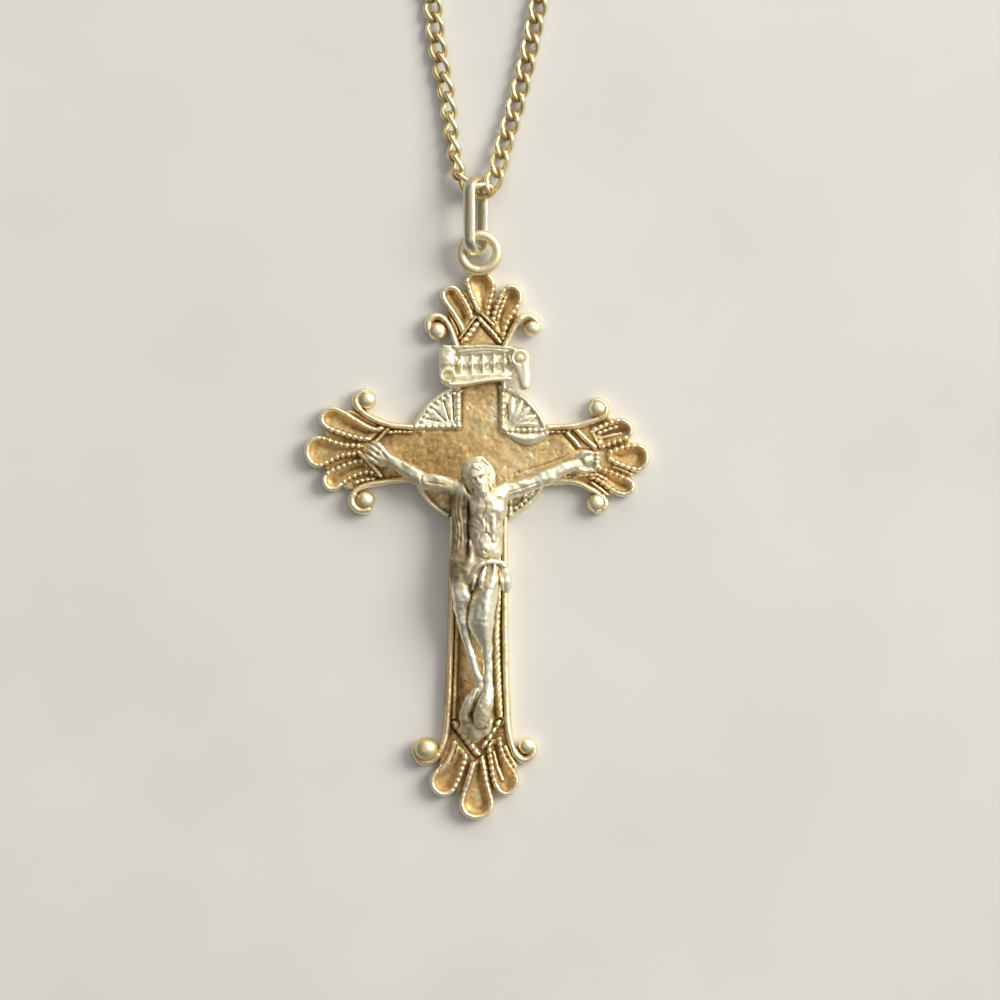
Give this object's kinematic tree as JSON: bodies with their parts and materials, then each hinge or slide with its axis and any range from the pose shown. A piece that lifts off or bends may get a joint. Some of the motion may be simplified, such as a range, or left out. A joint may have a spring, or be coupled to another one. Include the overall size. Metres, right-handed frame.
{
  "type": "crucifix pendant on a neck chain",
  "caption": "Crucifix pendant with fan-shaped ends, a pinned-on figure and a blank title scroll, hung by a ring and bail on a fine curb chain, lying on its back.",
  "frame": {"origin": "centre of the cross's flat back, behind the crossing of the arms", "axes": "+Z out of the front of the cross, +Y up the cross towards the bail and chain, +X to the right as the front is looked at"},
  "size_m": [0.1256, 0.2138, 0.0039],
  "materials": {
    "gilt_cross": "worn gilt, dark in the recesses",
    "silver_figure": "tarnished silver, rubbed bright on the high places",
    "silver_scroll": "tarnished silver, rubbed bright on the edges",
    "silver_bail": "worn satin",
    "gold_chain": "polished pale gold",
    "gold_clasp": "polished pale gold"
  },
  "bodies": {
    "root": {"cross": "gilt_cross", "corpus": "silver_figure", "title_scroll": "silver_scroll", "bail": "silver_bail", "chain": "gold_chain", "clasp": "gold_clasp"}
  },
  "joints": []
}
